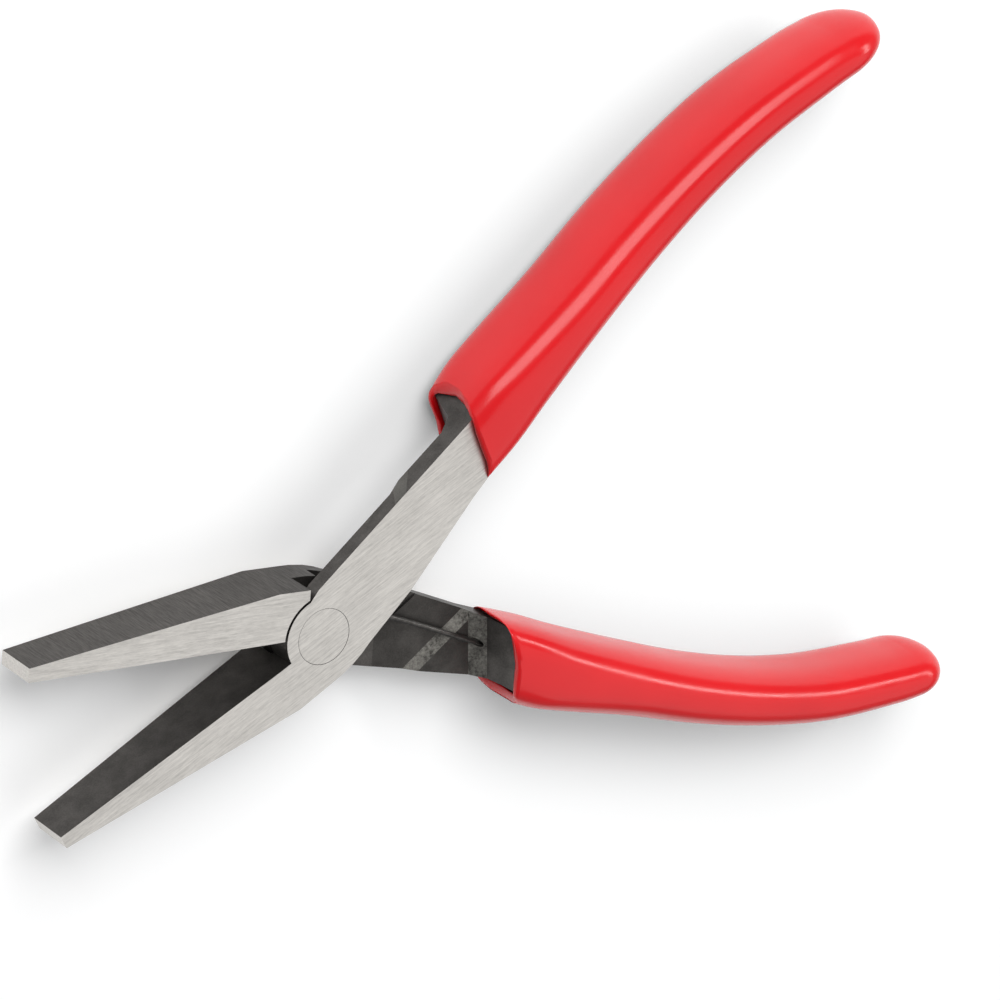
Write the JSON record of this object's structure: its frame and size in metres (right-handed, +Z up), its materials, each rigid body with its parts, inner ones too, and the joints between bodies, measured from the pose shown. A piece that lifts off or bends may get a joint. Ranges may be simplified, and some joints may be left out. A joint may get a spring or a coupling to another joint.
{
  "type": "flat-nose pliers",
  "caption": "Small lap-joint pliers with long flat jaws, a flush rivet, a wire return spring and curved dipped handle grips.",
  "frame": {"origin": "centre of the open tool's outline, at the underside of the grips as the tool lies flat", "axes": "+X from the jaws to the handles along the line midway between the two halves, +Z up along the rivet, front half uppermost"},
  "size_m": [0.1128, 0.0826, 0.0115],
  "materials": {
    "forged_steel": "brushed ground flats, black oxide on the sides, gripping faces and recesses",
    "rivet_steel": "ground flush with the joint",
    "spring_wire": "dark drawn spring wire",
    "red_vinyl": "glossy dip-coated vinyl"
  },
  "bodies": {
    "rear_lever": {"rear_half": "forged_steel", "rear_grip": "red_vinyl", "pivot_rivet": "rivet_steel", "return_spring": "spring_wire"},
    "front_lever": {"front_half": "forged_steel", "front_grip": "red_vinyl"}
  },
  "joints": [
    {"name": "pivot", "type": "hinge", "parent": "rear_lever", "child": "front_lever", "pos_m": [-0.02332, -0.00009, 0.00576], "axis": [0, 0, 1], "range_deg": [-30.3, 5], "stiffness_Nm_per_rad": 0.12, "deforming": ["return_spring"]}
  ]
}
